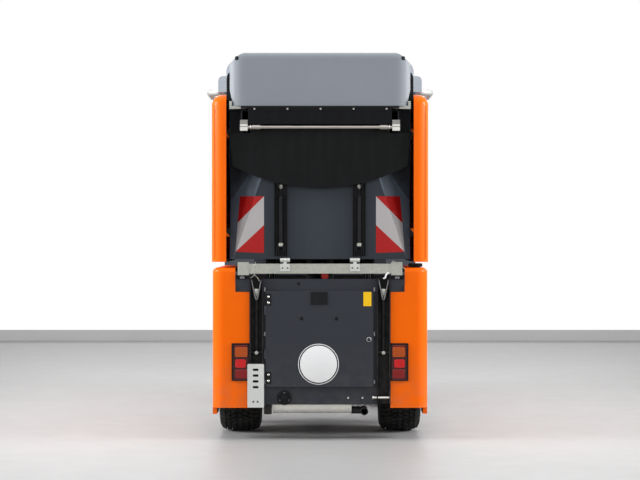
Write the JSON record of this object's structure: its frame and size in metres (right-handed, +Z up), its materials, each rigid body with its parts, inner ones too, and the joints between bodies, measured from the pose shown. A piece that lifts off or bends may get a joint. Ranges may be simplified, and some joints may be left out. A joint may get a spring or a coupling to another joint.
{
  "type": "articulated street sweeper",
  "caption": "Compact articulated street sweeper with a cab, front brushes, a suction mouth and a rear hopper that tips out through a top hung flap.",
  "frame": {"origin": "on the ground under the middle of the vehicle", "axes": "+X to the vehicle's right, +Y forward, +Z up"},
  "size_m": [1.408, 3.8, 1.9699],
  "materials": {
    "chassis_black": "satin black powder coat",
    "axle_black": "black cast steel",
    "engine_grey": "grey castings",
    "muffler_steel": "bright sheet steel",
    "hatch_grey": "dark grey paint",
    "cover_orange": "orange moulded panel",
    "galvanised": "galvanised steel",
    "bright_steel": "bright stainless steel",
    "lamp_housing": "black housing, coloured lenses",
    "hopper_slate": "dark slate paint",
    "shell_grey": "grey moulded shell",
    "flap_black": "black sheet",
    "seal_rubber": "black rubber",
    "cylinder_black": "black enamel",
    "rod_chrome": "hard chrome",
    "pipe_black": "black ribbed hose and pipe",
    "window_glass": "tinted safety glass",
    "seat_cover": "black vinyl",
    "dash_black": "grained black plastic",
    "bristles": "stiff bristles in a disc",
    "tyre_rubber": "black tyre",
    "rim_grey": "silver grey wheel paint",
    "mirror_black": "black housing",
    "lamp_clear": "clear lamp lens"
  },
  "bodies": {
    "rear": {"rear_frame": "chassis_black", "rear_axle": "axle_black", "engine_block": "engine_grey", "muffler": "muffler_steel", "rear_bulkhead": "hatch_grey", "channel_posts": "chassis_black", "post_struts": "bright_steel", "foot_plate": "galvanised", "rear_side_covers": "cover_orange", "tail_lamps": "lamp_housing", "hinge_beam": "galvanised", "beam_brackets": "chassis_black", "inlet_duct": "pipe_black"},
    "hatch": {"engine_hatch": "hatch_grey"},
    "hopper": {"hopper_shell": "hopper_slate", "hopper_side_covers": "cover_orange", "hopper_cap": "shell_grey", "strut_channels": "chassis_black", "flap_bar": "bright_steel", "flap_seal": "seal_rubber"},
    "flap": {"rear_flap": "flap_black"},
    "strut_barrels": {"strut_barrels": "cylinder_black"},
    "strut_rods": {"strut_rods": "rod_chrome"},
    "tilt_barrels": {"tilt_barrels": "cylinder_black"},
    "tilt_rods": {"tilt_rods": "rod_chrome"},
    "front": {"front_frame": "chassis_black", "front_axle": "axle_black", "suction_pipe": "pipe_black", "suction_bellows": "seal_rubber", "suction_mouth": "pipe_black", "cab_shell": "cover_orange", "cab_glass": "window_glass", "cab_roof": "shell_grey", "seat": "seat_cover", "seat_base": "dash_black", "dashboard": "dash_black", "steering_wheel": "dash_black", "headlamps": "lamp_clear", "mirrors": "mirror_black"},
    "door_left": {"door_left": "cover_orange", "door_glass_left": "window_glass"},
    "door_right": {"door_right": "cover_orange", "door_glass_right": "window_glass"},
    "lift": {"lift_frame": "chassis_black"},
    "brush_arm_left": {"brush_arm_left": "chassis_black"},
    "brush_arm_right": {"brush_arm_right": "chassis_black"},
    "brush_left": {"brush_left": "bristles"},
    "brush_right": {"brush_right": "bristles"},
    "wheel_rear_left": {"tyre_rear_left": "tyre_rubber", "rim_rear_left": "rim_grey"},
    "wheel_rear_right": {"tyre_rear_right": "tyre_rubber", "rim_rear_right": "rim_grey"},
    "wheel_front_left": {"tyre_front_left": "tyre_rubber", "rim_front_left": "rim_grey"},
    "wheel_front_right": {"tyre_front_right": "tyre_rubber", "rim_front_right": "rim_grey"}
  },
  "joints": [
    {"name": "steering", "type": "hinge", "parent": "rear", "child": "front", "pos_m": [0, -0.5, 0.41], "axis": [0, 0, 1], "range_deg": [-45, 45], "deforming": ["suction_bellows"]},
    {"name": "hopper_tilt", "type": "hinge", "parent": "rear", "child": "hopper", "pos_m": [0, -1.888, 0.901], "axis": [1, 0, 0], "range_deg": [0, 60]},
    {"name": "tilt_barrels", "type": "hinge", "parent": "rear", "child": "tilt_barrels", "pos_m": [0, -1.26, 0.39], "axis": [-1, 0, 0], "range_deg": [0, 0.6]},
    {"name": "tilt_rods", "type": "slide", "parent": "tilt_barrels", "child": "tilt_rods", "axis": [0, -0.4427, 0.8967], "range_m": [0, 0.3946]},
    {"name": "flap", "type": "hinge", "parent": "hopper", "child": "flap", "pos_m": [0, -1.886, 1.567], "axis": [-1, 0, 0], "range_deg": [0, 45]},
    {"name": "strut_barrels", "type": "hinge", "parent": "hopper", "child": "strut_barrels", "pos_m": [0, -1.848, 0.97], "axis": [1, 0, 0], "range_deg": [0, 31.4]},
    {"name": "strut_rods", "type": "slide", "parent": "strut_barrels", "child": "strut_rods", "axis": [0, 0, 1], "range_m": [0, 0.1212]},
    {"name": "hatch", "type": "hinge", "parent": "rear", "child": "hatch", "pos_m": [-0.274, -1.894, 0.54], "axis": [0, 0, -1], "range_deg": [0, 90]},
    {"name": "door_left", "type": "hinge", "parent": "front", "child": "door_left", "pos_m": [-0.569, 0.797, 1.2], "axis": [0, 0, -1], "range_deg": [0, 70]},
    {"name": "door_right", "type": "hinge", "parent": "front", "child": "door_right", "pos_m": [0.569, 0.797, 1.2], "axis": [0, 0, 1], "range_deg": [0, 70]},
    {"name": "front_lift", "type": "hinge", "parent": "front", "child": "lift", "pos_m": [0, 1.04, 0.385], "axis": [1, 0, 0], "range_deg": [0, 12]},
    {"name": "arm_swing_left", "type": "hinge", "parent": "lift", "child": "brush_arm_left", "pos_m": [-0.29, 1.225, 0.415], "axis": [0, 0, 1], "range_deg": [0, 30]},
    {"name": "arm_swing_right", "type": "hinge", "parent": "lift", "child": "brush_arm_right", "pos_m": [0.29, 1.225, 0.415], "axis": [0, 0, -1], "range_deg": [0, 30]},
    {"name": "brush_spin_left", "type": "hinge", "parent": "brush_arm_left", "child": "brush_left", "pos_m": [-0.345, 1.57, 0.26], "axis": [0, 0, 1], "continuous": true},
    {"name": "brush_spin_right", "type": "hinge", "parent": "brush_arm_right", "child": "brush_right", "pos_m": [0.345, 1.57, 0.26], "axis": [0, 0, 1], "continuous": true},
    {"name": "wheel_rear_left", "type": "hinge", "parent": "rear", "child": "wheel_rear_left", "pos_m": [-0.415, -1.35, 0.28], "axis": [1, 0, 0], "continuous": true},
    {"name": "wheel_rear_right", "type": "hinge", "parent": "rear", "child": "wheel_rear_right", "pos_m": [0.415, -1.35, 0.28], "axis": [1, 0, 0], "continuous": true},
    {"name": "wheel_front_left", "type": "hinge", "parent": "front", "child": "wheel_front_left", "pos_m": [-0.415, 0.25, 0.28], "axis": [1, 0, 0], "continuous": true},
    {"name": "wheel_front_right", "type": "hinge", "parent": "front", "child": "wheel_front_right", "pos_m": [0.415, 0.25, 0.28], "axis": [1, 0, 0], "continuous": true}
  ],
  "couplings": [
    {"joint": "tilt_barrels", "follows": "hopper_tilt", "ratio": 0.0097},
    {"joint": "tilt_rods", "follows": "hopper_tilt", "m_per_rad": 0.37671},
    {"joint": "strut_barrels", "follows": "flap", "ratio": 0.69533},
    {"joint": "strut_rods", "follows": "flap", "m_per_rad": 0.15415}
  ]
}
